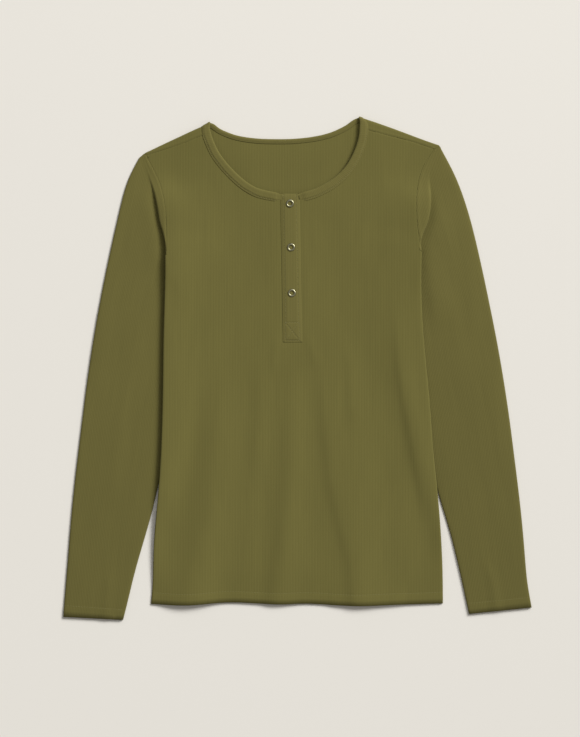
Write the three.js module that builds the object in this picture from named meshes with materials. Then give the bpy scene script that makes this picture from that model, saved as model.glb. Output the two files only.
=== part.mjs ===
// A women's long-sleeve henley shirt in fine rib knit, laid flat on its back with both arms beside the body.
// The body lies over the inner part of each sleeve, as it does once the arms are drawn in.
// Millimetres. X runs to the wearer's left, Y from hem to neck, and Z up from the surface it lies on.
import * as THREE from "three";
import { mergeVertices } from "three/addons/utils/BufferGeometryUtils.js";

// The cloth
const CLOTH = 1.0; // thickness of one layer of rib knit
const HALF = CLOTH / 2;
const SEAM = 0.3; // between two pieces at a seam
const ARMHOLE_EASE = 0.2; // added to it at the armholes, whose curves meet in straight chords
const PRESSED = CLOTH + SEAM; // from the middle of one pressed layer to the middle of the next
const TURN = 1.5; // radius at which a pressed sleeve, two layers thick, folds back on itself
const COLOR = { cloth: 0x6c6737, trim: 0x716c3a, metal: 0xa39b72 };

// Neck binding, a folded strip that wraps the neck edge
const BINDING_CLEAR = 1.4; // from the middle of the panel to the middle of the binding
const BINDING_OUTSIDE = 10.2; // how far its outer leg reaches past the cut edge
const BINDING_INSIDE = 5.0; // and its inner leg

// Placket and snaps
const PLACKET_WIDTH = 26;
const UNDER_PLACKET_WIDTH = 21;
const SLIT_WIDTH = 13;
const SNAP = { outer: 5.4, inner: 2.7, height: 1.3, core: 4.5, coreHeight: 1.1 };

function table(names, ...rows) {
  return rows.map((row) => Object.fromEntries(names.map((name, i) => [name, row[i]])));
}

// Outlines from the front, seen from above
const PLACKET_LINE = table(["x", "y"], [-10, 234.4], [-8.3, 150], [-6.2, 36]);
const SNAP_PLACES = table(["x", "y"], [-9.7, 221.5], [-8.2, 163], [-7.1, 102]);
const SLIT_BOTTOM = 60;
const UNDER_PLACKET_BOTTOM = 44;
const HEM = table(["x", "y"], [-200, -313.4], [-150, -315.6], [-90, -311.6], [-23, -314.4],
  [10, -313.2], [78, -316.4], [137, -314.6], [200, -312.8]);
const FRONT_NECK = table(["x", "y"], [-117.6, 316], [-106.9, 290.4], [-89.7, 268.2],
  [-69.1, 249.3], [-48.3, 237.9], [-23.9, 232.7],
  [4, 233.4], [24.5, 239.7], [45.5, 251], [64.5, 268.2], [76.8, 289.2], [83.4, 309], [84.6, 321.8]);
const BACK_NECK = table(["x", "y"], [-117.6, 325.9], [-108, 321.3], [-97.9, 316.9], [-80.4, 310.6],
  [-54.6, 306.8], [-28.8, 305.9],
  [-3.2, 306.4], [22.5, 309.3], [45, 314.7], [64, 323.4], [76, 329.7], [84.6, 334]);

// Each side of the garment. A fold's share runs from 0 at the shoulder point to 1 at the underarm.
const LEFT = {
  out: -1,
  underarm: 152,
  tip: 287.4,
  side: table(["y", "x"], [-313, -195.6], [-295, -193.2], [-241, -192.3], [-188, -187.9],
    [-157, -184.8], [-94, -181.2], [-14, -179.4], [66, -178.2], [152, -174.8]),
  armhole: table(["y", "x"], [152, -174.8], [180, -174.4], [214, -176], [230, -178.6],
    [252, -184.6], [267, -192.2], [287.4, -203.9]),
  shoulder: table(["x", "y"], [-203.9, 288.9], [-179, 300.9], [-144.5, 316.9], [-128.5, 324.4],
    [-117.6, 328.8]),
  shoulderSeam: table(["x", "y"], [-201.3, 285.9], [-176.6, 293.7], [-153.9, 300.6],
    [-129.8, 310.9], [-117.6, 316]),
  outerEdge: table(["x", "y"], [-214.8, 279.3], [-223.3, 266], [-231.3, 239.3], [-240.6, 199.2],
    [-252.6, 145.8], [-263.3, 92.4], [-272.7, 39], [-280.7, -14.4],
    [-287.4, -67.8], [-294, -121.2], [-300, -174.6], [-304.7, -228], [-308.7, -281.4],
    [-311.6, -308], [-314, -318], [-312.9, -331]),
  innerEdge: table(["x", "y"], [-123.5, 119], [-133.8, 65.7], [-145.8, 12.3], [-157.9, -41.1],
    [-171.2, -94.5], [-185.9, -157.2], [-196.6, -201.3],
    [-204.6, -228], [-212.6, -254.7], [-219.9, -281.4], [-225.9, -308.1], [-230, -324.1], [-232.8, -335]),
  tipDirection: [-0.8, -0.6],
  flap: table(["share", "width"], [0, 3], [0.25, 7], [0.5, 8.5], [0.75, 6], [1, 3.5]),
  fold: { start: 0.08, full: 0.6, depth: 48 },
};
const RIGHT = {
  out: 1,
  underarm: 157,
  tip: 297.6,
  side: table(["y", "x"], [-312.5, 194.8], [-295, 195], [-241, 193.2], [-201, 190.6],
    [-161, 187.2], [-106, 181.4], [-41, 176.8], [0, 172.7], [47, 168.4], [92, 166], [157, 165]),
  armhole: table(["y", "x"], [157, 165], [189, 160.4], [215, 158.5], [241, 159.9], [261, 163.9],
    [278, 171.1], [291, 181.2], [297.6, 189.9]),
  shoulder: table(["x", "y"], [189.9, 299.4], [173, 305], [153, 312.7], [132, 320.5],
    [106.5, 329.5], [84.6, 336.8]),
  shoulderSeam: table(["x", "y"], [183.2, 293.3], [155.9, 303.4], [123.8, 311.4], [96.2, 318.6],
    [84.6, 321.8]),
  outerEdge: table(["x", "y"], [199.9, 280.7], [207.9, 266], [214.6, 252.6], [223.9, 225.9],
    [232, 199.2], [244.7, 145.8], [256, 92.4], [266.7, 39], [276, -14.4],
    [284, -67.8], [290.7, -121.2], [297.4, -174.6], [302.7, -228], [306.7, -281.4],
    [308.2, -294.7], [312.2, -308], [313.4, -318.5]),
  innerEdge: table(["x", "y"], [117, 119], [131, 52.5], [149.2, -14.4], [162.5, -67.8],
    [177.2, -121.2], [187.9, -165.2], [204.6, -218.6], [213.3, -254.7],
    [219.9, -281.4], [225.3, -308.1], [229.5, -327]),
  tipDirection: [0.45, -0.89],
  flap: table(["share", "width"], [0, 3], [0.3, 10], [0.6, 20], [0.8, 15], [1, 5]),
  fold: { start: 0.2, full: 0.66, depth: 44 },
};

// Folds of the front: soft ridges that open out towards the hem
const FRONT_FOLDS = table(["topX", "topY", "hemX", "rise", "width", "grow"],
  [-96, 60, -143, 2.0, 25, 220],
  [-48, 60, -66, 0.8, 12, 160],
  [-6, 20, -22, 2.1, 20, 200],
  [56, 75, 92, 2.1, 27, 240],
  [118, 110, 150, 0.7, 14, 200]);
// Folds of a sleeve: share across from its outer edge, and share along from armhole to cuff
const SLEEVE_FOLDS = table(["across", "along", "rise", "width", "length"],
  [0.3, 0.16, 0.9, 0.09, 0.12], [0.52, 0.3, 0.7, 0.1, 0.16], [0.35, 0.62, 0.6, 0.12, 0.16]);
// How far a front layer stands off the layer under it
const PUFF = { edge: 0.3, body: 1.3, neck: 1.3, sleeve: 0.9 };
const RAMP = 20; // over which the body comes down off what lies under it
const MARGIN = 11;

const smooth = (t) => {
  const c = Math.min(1, Math.max(0, t));
  return c * c * (3 - 2 * c);
};

// A smooth function through the rows of a table, from the column named key to the column named value.
function through(rows, key, value) {
  const sorted = [...rows].sort((a, b) => a[key] - b[key]);
  const slope = (i) => {
    const a = sorted[Math.max(i - 1, 0)];
    const b = sorted[Math.min(i + 1, sorted.length - 1)];
    return (b[value] - a[value]) / (b[key] - a[key]);
  };
  return (at) => {
    let i = 0;
    while (i < sorted.length - 2 && sorted[i + 1][key] < at) i++;
    const a = sorted[i];
    const b = sorted[i + 1];
    const span = b[key] - a[key];
    const t = Math.min(1, Math.max(0, (at - a[key]) / span));
    const u = 1 - t;
    return a[value] * u * u * (1 + 2 * t) + b[value] * t * t * (3 - 2 * t)
      + span * t * u * (u * slope(i) - t * slope(i + 1));
  };
}

// Evenly spaced points of the smooth curve through a table's x and y.
function along(rows, steps) {
  return new THREE.SplineCurve(rows.map((row) => new THREE.Vector2(row.x, row.y))).getSpacedPoints(steps);
}

const hemY = through(HEM, "x", "y");
for (const side of [LEFT, RIGHT]) {
  side.sideX = through(side.side, "y", "x");
  side.armholeX = through(side.armhole, "y", "x");
  side.shoulderY = through(side.shoulder, "x", "y");
  side.seamY = through(side.shoulderSeam, "x", "y");
  side.flapWidth = through(side.flap, "share", "width");
  side.innerX = through(side.innerEdge, "y", "x");
  side.edgeX = (y) => (y < side.underarm ? side.sideX(y) : side.armholeX(Math.min(y, side.tip)));
  side.share = (y) => Math.min(1, Math.max(0, (side.tip - y) / (side.tip - side.underarm)));
  side.angle = (share) => Math.PI * smooth((share - side.fold.start) / (side.fold.full - side.fold.start));
  side.depth = (share) =>
    0.6 + side.fold.depth * Math.max(0, (share - side.fold.full) / (1 - side.fold.full));
}

// How far in from the side something lies under the body, as a distance from the middle.
function reachUnder(side, y) {
  if (y < side.underarm - 2) {
    const fade = smooth((side.underarm - 2 - y) / 30);
    const inner = Math.abs(side.innerX(y));
    return inner * fade + (Math.abs(side.edgeX(side.underarm)) - reachOfFold(side, 1)) * (1 - fade);
  }
  return Math.abs(side.edgeX(y)) - reachOfFold(side, side.share(y));
}

function reachOfFold(side, share) {
  return Math.max(0, side.depth(share) - side.flapWidth(share) + TURN + PRESSED);
}

// Height that what lies under the body gives it.
function lift(x, y) {
  const side = x < 0 ? LEFT : RIGHT;
  const layers = y > side.underarm
    ? (1 - Math.cos(side.angle(side.share(y)))) / 2
    : 0.5 + 0.5 * smooth((y - side.underarm + 55) / 40);
  return 4 * TURN * layers * smooth((Math.abs(x) - reachUnder(side, y) + MARGIN) / RAMP + 1);
}

const neckPoints = along([...FRONT_NECK], 40);
const placketX = through(PLACKET_LINE, "y", "x");
const placketPoints = Array.from({ length: 20 }, (_, i) => 45 + i * 10)
  .map((y) => new THREE.Vector2(placketX(y), y));
const backNeckPoints = along(BACK_NECK, 40);
const armholePoints = [LEFT, RIGHT].flatMap((side) =>
  Array.from({ length: 16 }, (_, i) => side.underarm + (i / 15) * (side.tip - side.underarm))
    .map((y) => new THREE.Vector2(side.armholeX(y), y)));

const nearest = (points, x, y) =>
  Math.sqrt(Math.min(...points.map((p) => (p.x - x) ** 2 + (p.y - y) ** 2)));

// Middle of the back panel. It lies on the surface, on the sleeves, and on the binding along the back neck.
function backZ(x, y) {
  const neck = BINDING_CLEAR * (1 - smooth((nearest(backNeckPoints, x, y) - 14) / 45));
  return HALF + lift(x, y) + neck;
}

function folds(x, y) {
  return FRONT_FOLDS.reduce((sum, fold) => {
    const down = (fold.topY - y) / (fold.topY - hemY(0));
    const middle = fold.topX + (fold.hemX - fold.topX) * down;
    return sum
      + fold.rise * smooth((fold.topY - y) / fold.grow) * Math.exp(-(((x - middle) / fold.width) ** 2));
  }, 0);
}

// Middle of the front panel, and of what comes over the shoulder to meet it.
function frontZ(x, y) {
  const free = smooth(nearest(armholePoints, x, y) / 35);
  const neck = 1 - smooth((Math.min(nearest(neckPoints, x, y), nearest(placketPoints, x, y)) - 16) / 50);
  return backZ(x, y) + PRESSED + PUFF.edge + free * (PUFF.body + PUFF.neck * neck + folds(x, y));
}

const onBack = (x, y) => new THREE.Vector3(x, y, backZ(x, y));
const onFront = (x, y) => new THREE.Vector3(x, y, frontZ(x, y));

// A closed wall of cloth round the middle points of its quads.
function clothWall(points, quads) {
  const normals = points.map(() => new THREE.Vector3());
  for (const quad of quads) {
    const [a, b, c, d] = quad.map((i) => points[i]);
    const normal = c.clone().sub(a).cross(d.clone().sub(b)).normalize();
    quad.forEach((i) => normals[i].add(normal));
  }
  const edges = new Set(quads.flatMap((quad) => quad.map((a, k) => a + ">" + quad[(k + 1) % 4])));
  const moved = (by) =>
    points.flatMap((p, i) => p.clone().addScaledVector(normals[i].normalize(), by).toArray());
  const count = points.length;
  const faces = [];
  for (const [a, b, c, d] of quads) {
    const across = points[a].distanceTo(points[c]) <= points[b].distanceTo(points[d]);
    faces.push(...(across ? [a, b, c, a, c, d] : [a, b, d, b, c, d]));
    faces.push(...(across ? [c, b, a, d, c, a] : [d, b, a, d, c, b]).map((i) => i + count));
  }
  for (const edge of edges) {
    const [a, b] = edge.split(">").map(Number);
    if (!edges.has(b + ">" + a)) faces.push(b, a, a + count, b, a + count, b + count);
  }
  const geometry = new THREE.BufferGeometry();
  geometry.setAttribute("position", new THREE.Float32BufferAttribute([...moved(HALF), ...moved(-HALF)], 3));
  geometry.setIndex(faces);
  return facingOut(geometry);
}

// Turns a closed mesh's faces round where they point inwards.
function facingOut(geometry) {
  const position = geometry.attributes.position;
  const index = geometry.index.array;
  const corner = (i) => new THREE.Vector3().fromBufferAttribute(position, index[i]);
  let volume = 0;
  for (let i = 0; i < index.length; i += 3) volume += corner(i).dot(corner(i + 1).cross(corner(i + 2)));
  if (volume < 0) {
    for (let i = 0; i < index.length; i += 3) {
      [index[i + 1], index[i + 2]] = [index[i + 2], index[i + 1]];
    }
  }
  geometry.computeVertexNormals();
  return geometry;
}

// The quads of a grid whose rows all have the same number of points.
// A ring joins its last column to its first.
function gridQuads(rowCount, columnCount, ring = false) {
  const quads = [];
  for (let j = 0; j < rowCount - 1; j++)
    for (let i = 0; i < columnCount - (ring ? 0 : 1); i++) {
      const next = (i + 1) % columnCount;
      const above = (j + 1) * columnCount;
      quads.push([j * columnCount + i, j * columnCount + next, above + next, above + i]);
    }
  return quads;
}

// Grid of a body panel below its top edge: columns run from the hem to the points of top.
const UNDERARM_SHARE = 0.77; // of the way from the hem to the shoulder point
function panelPlan(top, rowShares) {
  const last = top.length - 1;
  return rowShares.map((share) =>
    top.map((end, i) => {
      const hemX = LEFT.edgeX(-313) + (i / last) * (RIGHT.edgeX(-313) - LEFT.edgeX(-313));
      const side = i < last / 2 ? LEFT : RIGHT;
      const sideEnd = i < last / 2 ? top[0] : top[last];
      const level = (s) => (s < UNDERARM_SHARE
        ? hemY(hemX) + (s / UNDERARM_SHARE) * (side.underarm - hemY(hemX))
        : side.underarm + ((s - UNDERARM_SHARE) / (1 - UNDERARM_SHARE)) * (sideEnd.y - side.underarm));
      const y = level(share) + (end.y - sideEnd.y) * share ** 2;
      const even = LEFT.edgeX(y) + (i / last) * (RIGHT.edgeX(y) - LEFT.edgeX(y));
      const shift = (side.edgeX(y) - sideEnd.x) * Math.max(0, 1 - Math.abs(end.x - sideEnd.x) / 100);
      const x = even + (end.x + shift - even) * smooth((share - 0.2) / 0.8);
      return share === 1 ? end.clone() : new THREE.Vector2(x, y);
    }));
}

// The armhole is divided alike on the body and on the sleeve.
// Shares run from the shoulder point to the underarm.
const ARMHOLE_SHARES = [0, 0.06, 0.16, 0.26, 0.36, 0.46, 0.56, 0.66, 0.75, 0.83, 0.9, 0.95, 1];
const SIDE_ROWS = 17;
const BODY_ROWS = [
  ...Array.from({ length: SIDE_ROWS - 1 }, (_, i) => (UNDERARM_SHARE * i) / (SIDE_ROWS - 1)),
  ...ARMHOLE_SHARES.map((share) => 1 - share * (1 - UNDERARM_SHARE)).reverse(),
];

// Adds the quarter roll by which a panel turns down, or up, to the side seam below the underarm.
function addSideRolls(points, quads, columns, plan, front) {
  for (const side of [LEFT, RIGHT]) {
    const column = side === LEFT ? 0 : columns - 1;
    const rolled = [];
    for (let j = 0; j < SIDE_ROWS; j++) {
      const { x, y } = plan[j][column];
      const radius = (frontZ(x, y) - backZ(x, y)) / 2;
      const middle = (frontZ(x, y) + backZ(x, y)) / 2;
      for (const turn of [Math.PI / 4, Math.PI / 2]) {
        const drop = front ? Math.cos(turn) * radius : -Math.cos(turn) * radius;
        const part = (SEAM / 2 + HALF * Math.sin(Math.PI / 8)) * (turn > 1 ? 1 : 0) * (front ? 1 : -1);
        const rolledX = x + side.out * Math.sin(turn) * radius;
        rolled.push(points.push(new THREE.Vector3(rolledX, y, middle + drop + part)) - 1);
      }
    }
    for (let j = 0; j < SIDE_ROWS - 1; j++)
      for (let k = 0; k < 2; k++) {
        const at = (row) => (k === 0 ? row * columns + column : rolled[row * 2]);
        const quad = [at(j), rolled[j * 2 + k], rolled[(j + 1) * 2 + k], at(j + 1)];
        quads.push(side === RIGHT ? quad : quad.reverse());
      }
  }
}

// The side's edge is drawn in by the roll, so that the roll's outside lies on the outline.
for (const side of [LEFT, RIGHT]) {
  const outline = side.sideX;
  side.sideX = (y) => {
    const away = smooth((side.underarm - y) / 35);
    return outline(y) - side.out * away * ((PRESSED + PUFF.edge + PUFF.body) / 2 + HALF);
  };
}

// Front panel: hem to neck edge and shoulder seams, with a slit from the neck that the placket is set in
const NECK_COLUMNS = 9; // each side of the slit
function frontPanel() {
  const seam = (side) => along(side.shoulderSeam, 5).map((p) => p.setY(p.y - SEAM));
  const neck = along(FRONT_NECK, 400);
  const slitSide = (sign) => neck.filter((p) => sign * (p.x - placketX(p.y)) >= SLIT_WIDTH / 2);
  const spaced = (points) => Array.from(
    { length: NECK_COLUMNS + 1 },
    (_, i) => points[Math.round((i * (points.length - 1)) / NECK_COLUMNS)]);
  const neckEdge = [...spaced(slitSide(-1)), ...spaced(slitSide(1))];
  const top = [...seam(LEFT).slice(0, -1), ...neckEdge, ...seam(RIGHT).reverse().slice(1)];
  const plan = panelPlan(top, BODY_ROWS);
  const slitColumn = 5 + NECK_COLUMNS;
  const slitRow = plan.findIndex((row) => row[slitColumn].y > SLIT_BOTTOM);
  for (const row of plan.slice(slitRow)) {
    for (const sign of [-1, 1]) {
      const p = row[slitColumn + (sign + 1) / 2];
      p.x = placketX(p.y) + (sign * SLIT_WIDTH) / 2;
    }
  }
  const points = plan.flat().map((p) => onFront(p.x, p.y));
  const inSlit = ([corner]) => corner % top.length === slitColumn && corner >= slitRow * top.length;
  const quads = gridQuads(plan.length, top.length).filter((quad) => !inSlit(quad));
  addSideRolls(points, quads, top.length, plan, true);
  return clothWall(points, quads);
}

// Back panel: hem to neck edge, and over each shoulder to the seam on the front
function backPanel() {
  const shoulderSteps = 5;
  const fold = (side) => along(side.shoulder, shoulderSteps).map((p) => {
    const radius = (frontZ(p.x, p.y) - backZ(p.x, p.y)) / 2;
    return p.clone().addScaledVector(awayFromFold(side, p.x), -(radius + HALF));
  });
  const seam = (side) => along(side.shoulderSeam, shoulderSteps);
  const top = [...fold(LEFT).slice(0, -1), ...along(BACK_NECK, 13), ...fold(RIGHT).reverse().slice(1)];
  const columns = top.length;
  const plan = panelPlan(top, BODY_ROWS);
  const points = plan.flat().map((p) => onBack(p.x, p.y));
  const quads = gridQuads(plan.length, columns);
  addSideRolls(points, quads, columns, plan, false);
  for (const side of [LEFT, RIGHT]) {
    const first = side === LEFT ? 0 : columns - 1 - shoulderSteps;
    const seamPoints = side === LEFT ? seam(side) : seam(side).reverse();
    const topRow = (plan.length - 1) * columns + first;
    let before = Array.from({ length: shoulderSteps + 1 }, (_, i) => topRow + i);
    for (const step of [1, 2, 3, 4, 5, 6]) {
      const row = before.map((_, i) => {
        const base = top[first + i];
        const low = backZ(base.x, base.y);
        const high = frontZ(base.x, base.y);
        if (step > 4) {
          const flat = base.clone().lerp(seamPoints[i], (step - 4) / 2);
          return points.push(onFront(flat.x, flat.y)) - 1;
        }
        const turn = (Math.PI * step) / 4;
        const radius = (high - low) / 2;
        const away = awayFromFold(side, base.x).multiplyScalar(radius * Math.sin(turn));
        const height = low + radius * (1 - Math.cos(turn));
        return points.push(new THREE.Vector3(base.x + away.x, base.y + away.y, height)) - 1;
      });
      for (let i = 0; i < shoulderSteps; i++) quads.push([before[i], before[i + 1], row[i + 1], row[i]]);
      before = row;
    }
  }
  return clothWall(points, quads);
}

// Level direction away from the shoulder fold, square to it.
function awayFromFold(side, x) {
  const ends = side.shoulder.map((row) => row.x);
  const at = Math.min(Math.max(...ends) - 3, Math.max(Math.min(...ends) + 3, x));
  const slope = (side.shoulderY(at + 3) - side.shoulderY(at - 3)) / 6;
  return new THREE.Vector2(-slope, 1).normalize();
}

// Sleeve: a pressed tube.
// Its middle sheet leaves the armhole, folds back under the body, and runs to the cuff.
const SLEEVE_ROWS = 18;
const ARC_STEPS = 3;
function sleeve(side) {
  const start = ARMHOLE_SHARES.map((share) => armholeFold(side, share));
  const sheetRows = start[0].map((_, row) => start.map((column) => column[row]));
  const foldEnd = sheetRows.at(-1);
  const foldRows = sheetRows.length;
  const inset = PRESSED / 2 + HALF;
  const outer = along([foldEnd[0], ...insetEdge(side.outerEdge, -side.out * inset)], 200);
  const inner = along([foldEnd.at(-1), ...insetEdge(side.innerEdge, side.out * inset)], 200);
  const cuff = (share) => outer[200].clone().lerp(inner[200], share);
  const level = PRESSED / 2 + HALF;
  for (let row = 1; row <= SLEEVE_ROWS; row++) {
    const down = row / SLEEVE_ROWS;
    const o = outer[Math.round(down * 200)];
    const i = inner[Math.round(down * 200)];
    sheetRows.push(ARMHOLE_SHARES.map((share, k) => {
      const top = foldEnd[k];
      const mix = (axis) => (1 - down) * top[axis] + down * cuff(share)[axis]
        + (1 - share) * (o[axis] - (1 - down) * outer[0][axis] - down * outer[200][axis])
        + share * (i[axis] - (1 - down) * inner[0][axis] - down * inner[200][axis]);
      return new THREE.Vector3(mix("x"), mix("y"), level);
    }));
  }
  const across = ARMHOLE_SHARES.length;
  const normals = sheetNormals(sheetRows, side);
  const points = [];
  sheetRows.forEach((row, j) => {
    const down = Math.max(0, j - foldRows + 1) / SLEEVE_ROWS;
    const front = row.map((p, k) => {
      const bodyEdge = side.out * (p.x - side.edgeX(p.y));
      const free = smooth((bodyEdge - 3) / 25) * smooth(down / 0.1);
      const rise = SLEEVE_FOLDS.reduce((sum, fold) => {
        const across = (ARMHOLE_SHARES[k] - fold.across) / fold.width;
        const along = (down - fold.along) / fold.length;
        return sum + fold.rise * Math.exp(-(across ** 2) - along ** 2);
      }, PUFF.sleeve);
      return p.clone().addScaledVector(normals[j][k], PRESSED / 2 + free * rise);
    });
    const back = row.map((p, k) => p.clone().addScaledVector(normals[j][k], -PRESSED / 2));
    const innerEnd = roundEnd(front.at(-1), back.at(-1), row.at(-1), row.at(-2));
    const outerEnd = roundEnd(front[0], back[0], row[0], row[1]);
    points.push(...front, innerEnd, ...back.reverse(), outerEnd);
  });
  return clothWall(points, gridQuads(sheetRows.length, 2 * across + 2, true));
}

function insetEdge(rows, dx) {
  return rows.map((row) => ({ x: row.x + dx, y: row.y }));
}

// The point at which a pressed tube turns from its front layer to its back layer.
function roundEnd(front, back, edge, inward) {
  const radius = front.distanceTo(back) / 2;
  const away = edge.clone().sub(inward).normalize();
  return front.clone().add(back).multiplyScalar(0.5).addScaledVector(away, radius);
}

// Points of the sleeve's middle sheet, from the armhole seam through the fold that draws the arm in.
function armholeFold(side, share) {
  const y = side.tip + share * (side.underarm - side.tip) + (share === 1 ? 1.7 : 0);
  const x = side.armholeX(y);
  const run = new THREE.Vector2(side.armholeX(y - 2) - side.armholeX(y + 2), -4).normalize();
  const square = new THREE.Vector2(-side.out * run.y, side.out * run.x);
  const out = new THREE.Vector2(...side.tipDirection).lerp(square, smooth(share / 0.35)).normalize();
  const top = (frontZ(x, y) + backZ(x, y)) / 2;
  const angle = side.angle(side.share(y));
  const flat = side.depth(share);
  const width = side.flapWidth(share);
  const bend = (share) => [TURN * Math.sin(angle * share), TURN * (1 - Math.cos(angle * share))];
  const [bendOut, bendDown] = bend(1);
  const slant = side.fold.depth / ((1 - side.fold.full) * (side.tip - side.underarm));
  const stretch = 1 + (Math.hypot(1, slant) - 1) * smooth((share - side.fold.full) / 0.1 + 1);
  const turned = [width + bendOut + flat * Math.cos(angle), bendDown + flat * Math.sin(angle)];
  const profile = [[SEAM + ARMHOLE_EASE, 0], [width, 0]];
  for (let i = 1; i <= ARC_STEPS; i++) {
    const [across, down] = bend(i / ARC_STEPS);
    profile.push([width + across, down]);
  }
  profile.push(turned);
  for (let i = ARC_STEPS - 1; i >= 0; i--) {
    const [across, down] = bend(i / ARC_STEPS);
    profile.push([turned[0] + (bendOut - across) * stretch, turned[1] + bendDown - down]);
  }
  const bottom = PRESSED / 2 + HALF;
  const last = profile.length - 1;
  const spread = 0.6 * Math.cos(angle / 2) ** 2;
  return profile.map(([away, down], i) => {
    const n = away + spread * i;
    const z = top - down + (bottom - top + 2 * bendDown + flat * Math.sin(angle)) * smooth(i / last);
    return new THREE.Vector3(x + out.x * n, y + out.y * n, z);
  });
}

// Normals of the sleeve's middle sheet, up where it lies flat.
function sheetNormals(rows, side) {
  return rows.map((row, j) => row.map((_, k) => {
    const before = rows[Math.max(j - 1, 0)][k];
    const after = rows[Math.min(j + 1, rows.length - 1)][k];
    const left = row[Math.max(k - 1, 0)];
    const right = row[Math.min(k + 1, row.length - 1)];
    return after.clone().sub(before).cross(right.clone().sub(left)).multiplyScalar(-side.out).normalize();
  }));
}

// Neck binding, from one side of the placket round the neck to the other
function binding() {
  const ends = PLACKET_WIDTH / 2 + SEAM;
  const front = along(FRONT_NECK, 36);
  const back = along(BACK_NECK, 26);
  const leftHalf = front.filter((p) => p.x < placketX(p.y) - ends).reverse();
  const rightHalf = front.filter((p) => p.x > placketX(p.y) + ends);
  const edgeOf = (side) => (side === LEFT ? back[0] : back.at(-1));
  const strips = [];
  // A point at distance d from the cut edge and height h off the middle of the panel
  const flat = (points, reversed, zOf, up) => points.forEach((p, i) => {
    const a = points[Math.max(i - 1, 0)];
    const b = points[Math.min(i + 1, points.length - 1)];
    const run = b.clone().sub(a).normalize().multiplyScalar(reversed ? -1 : 1);
    const away = new THREE.Vector2(run.y, -run.x);
    strips.push((d, h) => {
      const x = p.x + away.x * d;
      const y = p.y + away.y * d;
      const inside = Math.max(d, 0);
      return new THREE.Vector3(x, y, zOf(p.x + away.x * inside, p.y + away.y * inside) + up * h);
    });
  });
  const over = (side, turns) => turns.forEach((turn) => {
    const edge = edgeOf(side);
    const low = backZ(edge.x, edge.y);
    const radius = (frontZ(edge.x, edge.y) - low) / 2;
    const square = awayFromFold(side, edge.x);
    const outward = new THREE.Vector2(side.out * square.y, -side.out * square.x);
    strips.push((d, h) => {
      const r = (radius + h) * Math.sin(turn);
      return new THREE.Vector3(
        edge.x + outward.x * d + square.x * r,
        edge.y + outward.y * d + square.y * r,
        low + radius + (radius + h) * Math.cos(turn));
    });
  });
  const quarter = Math.PI / 4;
  flat(leftHalf, true, frontZ, 1);
  over(LEFT, [0.3 * quarter, quarter, 2 * quarter, 3 * quarter, 3.7 * quarter]);
  flat(back.slice(2, -2), false, backZ, -1);
  over(RIGHT, [3.7 * quarter, 3 * quarter, 2 * quarter, quarter, 0.3 * quarter]);
  flat(rightHalf.reverse(), true, frontZ, 1);
  const c = BINDING_CLEAR;
  const section = [
    [BINDING_OUTSIDE, c], [1.6, c], [-0.7 * c, 0.7 * c], [-c, 0],
    [-0.7 * c, -0.7 * c], [1.6, -c], [BINDING_INSIDE, -c]];
  const points = strips.flatMap((place) => section.map(([d, h]) => place(d, h)));
  return clothWall(points, gridQuads(strips.length, section.length));
}

// A strip that follows the placket's line, moved off the front panel
function placketStrip(width, bottom, top, offset) {
  const rows = 20;
  const columns = 4;
  const points = [];
  for (let j = 0; j <= rows; j++) {
    const y = bottom + ((top - bottom) * j) / rows;
    for (let i = 0; i <= columns; i++) {
      const x = placketX(y) + width * (i / columns - 0.5);
      points.push(onFront(x, y).add(new THREE.Vector3(0, 0, offset)));
    }
  }
  return clothWall(points, gridQuads(rows + 1, columns + 1));
}

// Ring of a snap, a rounded band of metal round a hole that shows the cloth
function snapRing({ x, y }) {
  const profile = [
    [SNAP.inner, 0], [SNAP.outer - 0.2, 0], [SNAP.outer, 0.4], [SNAP.outer - 0.5, 1.0],
    [(SNAP.outer + SNAP.inner) / 2, SNAP.height],
    [SNAP.inner + 0.4, 0.9], [SNAP.inner, 0.4], [SNAP.inner, 0]];
  const ring = new THREE.LatheGeometry(profile.map(([r, h]) => new THREE.Vector2(r, h)), 24);
  return stand(ring, x, y, frontZ(x, y) + BINDING_CLEAR + HALF + SEAM);
}

// The pressed-together socket and stud, between the two plackets
function snapCore({ x, y }) {
  const core = new THREE.CylinderGeometry(SNAP.core, SNAP.core, SNAP.coreHeight, 20)
    .translate(0, SNAP.coreHeight / 2, 0);
  return stand(core, x, y, frontZ(x, y) - SNAP.coreHeight / 2);
}

function stand(geometry, x, y, z) {
  const merged = mergeVertices(bare(geometry), 1e-4);
  merged.rotateX(Math.PI / 2).translate(x, y, z);
  return facingOut(merged);
}

function bare(geometry) {
  geometry.deleteAttribute("normal");
  geometry.deleteAttribute("uv");
  return geometry;
}

const material = (color, roughness, metalness) =>
  new THREE.MeshStandardMaterial({ color, roughness, metalness });
const knit = material(COLOR.cloth, 0.9, 0);
const trim = material(COLOR.trim, 0.9, 0);
const metal = material(COLOR.metal, 0.3, 1);
const named = (name, geometry, finish) => Object.assign(new THREE.Mesh(geometry, finish), { name });

const shirt = new THREE.Group();
shirt.add(
  named("front_panel", frontPanel(), knit),
  named("back_panel", backPanel(), knit),
  named("sleeve_right_arm", sleeve(LEFT), knit),
  named("sleeve_left_arm", sleeve(RIGHT), knit),
  named("neck_binding", binding(), trim),
  named("placket_over", placketStrip(PLACKET_WIDTH, 36, 234.4, BINDING_CLEAR), trim),
  named("placket_under",
    placketStrip(UNDER_PLACKET_WIDTH, UNDER_PLACKET_BOTTOM, 231, -BINDING_CLEAR), trim),
);
SNAP_PLACES.forEach((place, i) => {
  shirt.add(named(`snap_ring_${i + 1}`, snapRing(place), metal));
  shirt.add(named(`snap_core_${i + 1}`, snapCore(place), metal));
});

// The frame's origin is under the middle of the shirt.
const box = new THREE.Box3().setFromObject(shirt);
const middle = box.getCenter(new THREE.Vector3());
for (const mesh of shirt.children) mesh.geometry.translate(-middle.x, -middle.y, -box.min.z);

export default shirt;
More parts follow.
